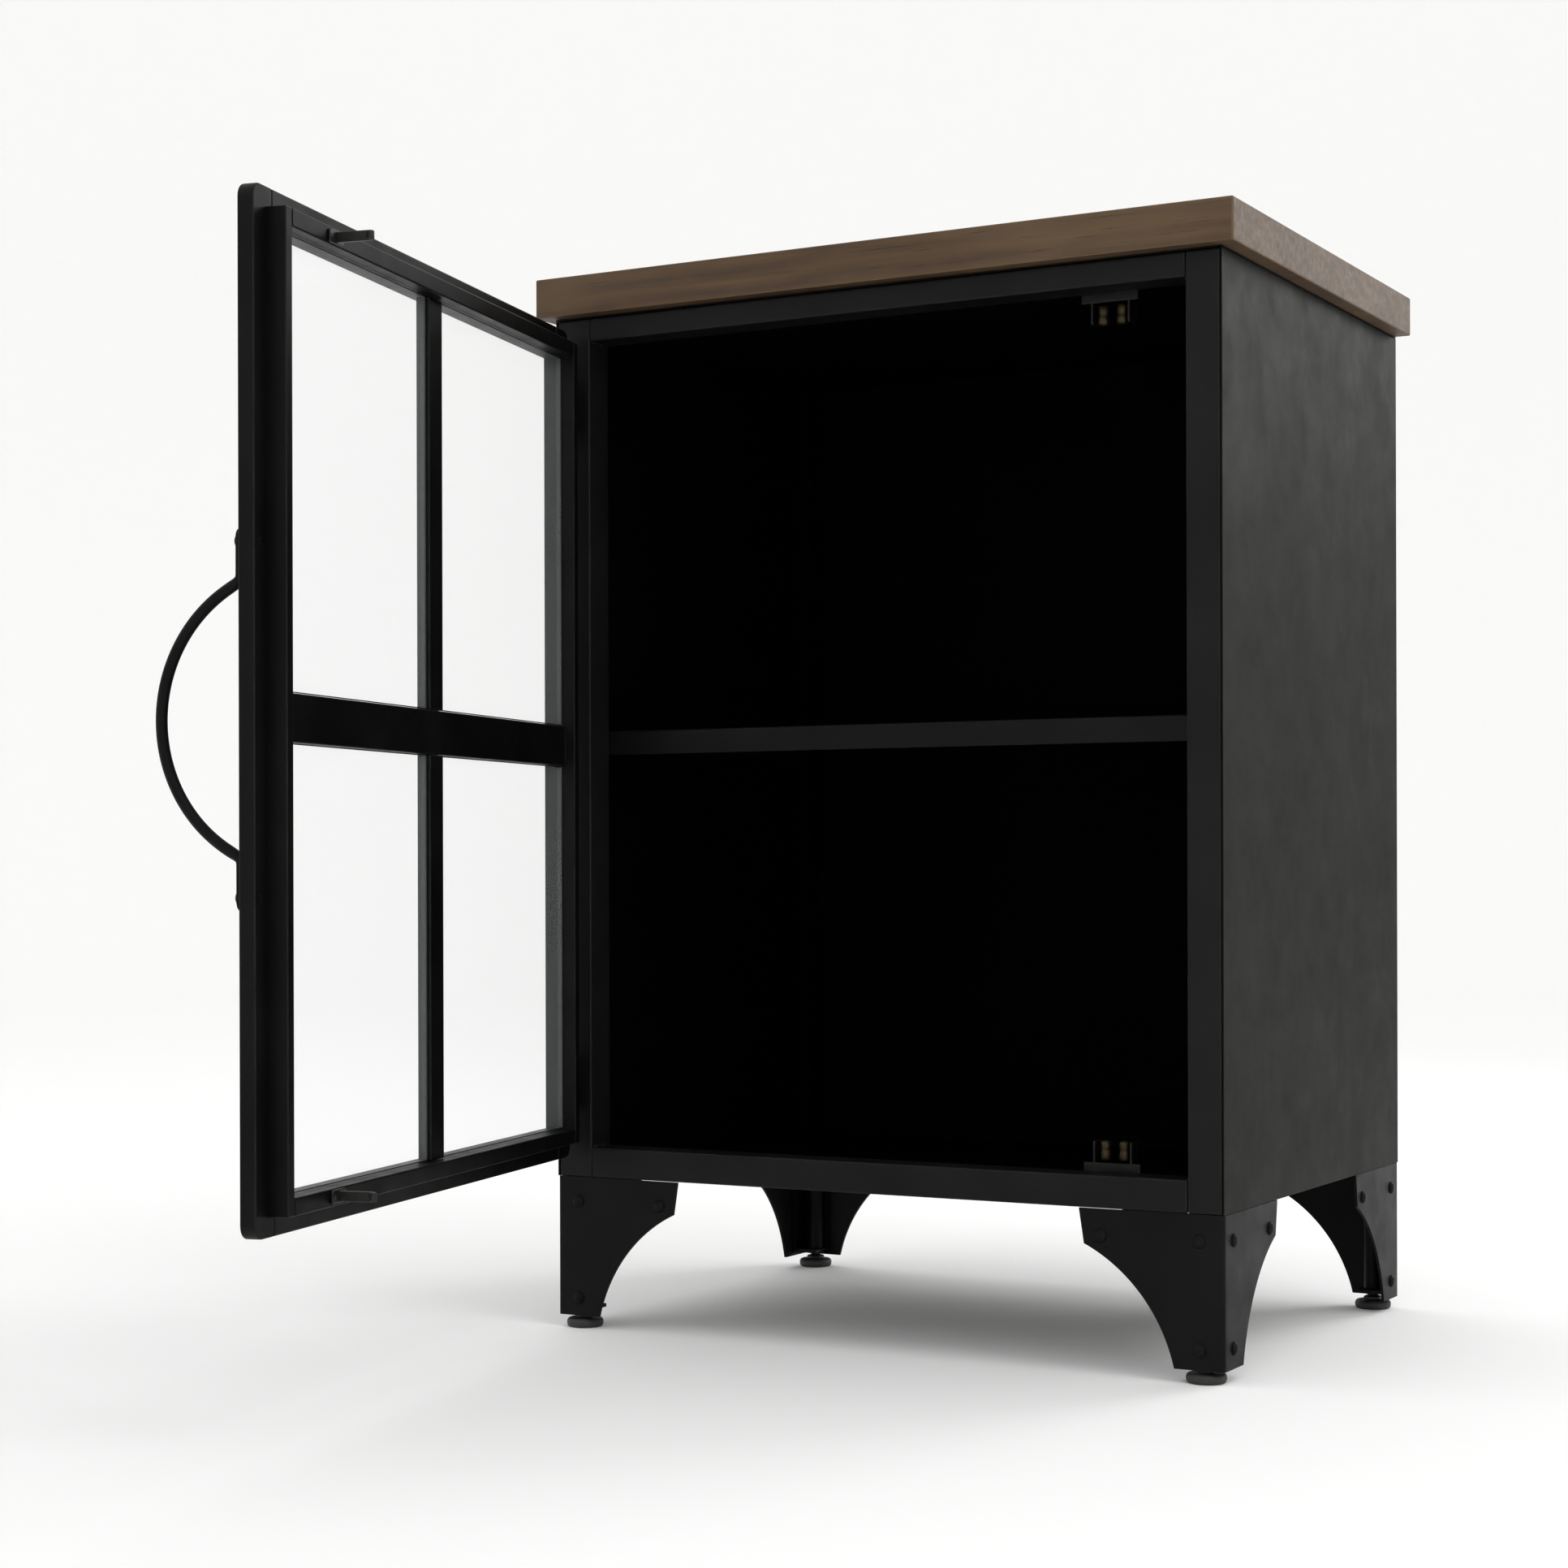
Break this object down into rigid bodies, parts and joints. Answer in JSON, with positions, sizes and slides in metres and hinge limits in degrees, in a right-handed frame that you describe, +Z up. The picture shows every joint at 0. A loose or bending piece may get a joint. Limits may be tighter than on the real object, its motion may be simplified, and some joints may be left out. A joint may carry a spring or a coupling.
{
  "type": "side cabinet",
  "caption": "Small steel side cabinet on folded legs with levelling feet, a solid wood top, a fixed shelf and one glazed steel door with a bowed rod handle, standing open.",
  "frame": {"origin": "middle of the footprint of the box around the whole cabinet with its door at rest, on the floor", "axes": "+Z up, +Y from the front of the cabinet to its back and along the longest extent with the door standing open, +X from the hinge side to the free side"},
  "size_m": [0.522, 0.8462, 0.744],
  "materials": {
    "wood_top": "oiled solid hardwood, warm mid brown with figured grain",
    "body_paint": "warm dark grey powder coat, slightly mottled",
    "dark_paint": "near-black satin powder coat",
    "glass": "clear",
    "roller_brass": "satin",
    "catch_steel": "zinc plated",
    "pad_plastic": "black moulded",
    "stud_steel": "zinc plated thread"
  },
  "bodies": {
    "cabinet": {"top_slab": "wood_top", "top_panel": "body_paint", "side_panel_left": "body_paint", "side_panel_right": "body_paint", "back_panel": "body_paint", "floor_panel": "dark_paint", "front_stile_left": "body_paint", "front_stile_right": "body_paint", "front_rail_bottom": "body_paint", "front_rail_top": "body_paint", "rear_post_left": "body_paint", "rear_post_right": "body_paint", "shelf": "dark_paint", "shelf_bracket_left": "dark_paint", "shelf_bracket_right": "dark_paint", "leg_front_left": "body_paint", "leg_front_right": "body_paint", "leg_rear_left": "body_paint", "leg_rear_right": "body_paint", "leg_bracket_front_left": "dark_paint", "leg_bracket_front_right": "dark_paint", "leg_bracket_rear_left": "dark_paint", "leg_bracket_rear_right": "dark_paint", "hinge_knuckle_frame_bottom": "dark_paint", "hinge_knuckle_frame_top": "dark_paint", "catch_body_bottom": "catch_steel", "catch_body_top": "catch_steel"},
    "door": {"door_stile_hinge": "dark_paint", "door_stile_free": "dark_paint", "door_rail_bottom": "dark_paint", "door_rail_top": "dark_paint", "muntin_horizontal": "dark_paint", "muntin_lower": "dark_paint", "muntin_upper": "dark_paint", "glass_lower_hinge": "glass", "glass_lower_free": "glass", "glass_upper_hinge": "glass", "glass_upper_free": "glass", "handle": "dark_paint", "handle_rivet_bottom": "dark_paint", "handle_rivet_top": "dark_paint", "hinge_knuckle_door_bottom": "dark_paint", "hinge_knuckle_door_top": "dark_paint", "strike_bottom": "catch_steel", "strike_top": "catch_steel"},
    "foot_front_left": {"leveller_pad_front_left": "pad_plastic"},
    "stud_front_left": {"leveller_stud_front_left": "stud_steel"},
    "foot_front_right": {"leveller_pad_front_right": "pad_plastic"},
    "stud_front_right": {"leveller_stud_front_right": "stud_steel"},
    "foot_rear_left": {"leveller_pad_rear_left": "pad_plastic"},
    "stud_rear_left": {"leveller_stud_rear_left": "stud_steel"},
    "foot_rear_right": {"leveller_pad_rear_right": "pad_plastic"},
    "stud_rear_right": {"leveller_stud_rear_right": "stud_steel"},
    "roller_left_bottom": {"catch_roller_left_bottom": "roller_brass"},
    "roller_right_bottom": {"catch_roller_right_bottom": "roller_brass"},
    "roller_left_top": {"catch_roller_left_top": "roller_brass"},
    "roller_right_top": {"catch_roller_right_top": "roller_brass"}
  },
  "joints": [
    {"name": "door_hinge", "type": "hinge", "parent": "cabinet", "child": "door", "pos_m": [-0.2385, 0.05011, 0.4135], "axis": [0, 0, -1], "range_deg": [-78, 82]},
    {"name": "foot_height_front_left", "type": "slide", "parent": "cabinet", "child": "foot_front_left", "axis": [0, 0, -1], "range_m": [-0.001, 0.008]},
    {"name": "stud_turn_front_left", "type": "hinge", "parent": "foot_front_left", "child": "stud_front_left", "pos_m": [-0.234, 0.06611, 0.0065], "axis": [0, 0, -1], "range_deg": [-300, 2400]},
    {"name": "foot_height_front_right", "type": "slide", "parent": "cabinet", "child": "foot_front_right", "axis": [0, 0, -1], "range_m": [-0.001, 0.008]},
    {"name": "stud_turn_front_right", "type": "hinge", "parent": "foot_front_right", "child": "stud_front_right", "pos_m": [0.234, 0.06611, 0.0065], "axis": [0, 0, -1], "range_deg": [-300, 2400]},
    {"name": "foot_height_rear_left", "type": "slide", "parent": "cabinet", "child": "foot_rear_left", "axis": [0, 0, -1], "range_m": [-0.001, 0.008]},
    {"name": "stud_turn_rear_left", "type": "hinge", "parent": "foot_rear_left", "child": "stud_rear_left", "pos_m": [-0.234, 0.41011, 0.0065], "axis": [0, 0, -1], "range_deg": [-300, 2400]},
    {"name": "foot_height_rear_right", "type": "slide", "parent": "cabinet", "child": "foot_rear_right", "axis": [0, 0, -1], "range_m": [-0.001, 0.008]},
    {"name": "stud_turn_rear_right", "type": "hinge", "parent": "foot_rear_right", "child": "stud_rear_right", "pos_m": [0.234, 0.41011, 0.0065], "axis": [0, 0, -1], "range_deg": [-300, 2400]},
    {"name": "roller_press_left_bottom", "type": "slide", "parent": "cabinet", "child": "roller_left_bottom", "axis": [-1, 0, 0], "range_m": [0, 0.0012], "stiffness_N_per_m": 400},
    {"name": "roller_press_right_bottom", "type": "slide", "parent": "cabinet", "child": "roller_right_bottom", "axis": [1, 0, 0], "range_m": [0, 0.0012], "stiffness_N_per_m": 400},
    {"name": "roller_press_left_top", "type": "slide", "parent": "cabinet", "child": "roller_left_top", "axis": [-1, 0, 0], "range_m": [0, 0.0012], "stiffness_N_per_m": 400},
    {"name": "roller_press_right_top", "type": "slide", "parent": "cabinet", "child": "roller_right_top", "axis": [1, 0, 0], "range_m": [0, 0.0012], "stiffness_N_per_m": 400}
  ],
  "couplings": [
    {"joint": "stud_turn_front_left", "follows": "foot_height_front_left", "rad_per_m": 5026.5},
    {"joint": "stud_turn_front_right", "follows": "foot_height_front_right", "rad_per_m": 5026.5},
    {"joint": "stud_turn_rear_left", "follows": "foot_height_rear_left", "rad_per_m": 5026.5},
    {"joint": "stud_turn_rear_right", "follows": "foot_height_rear_right", "rad_per_m": 5026.5}
  ]
}
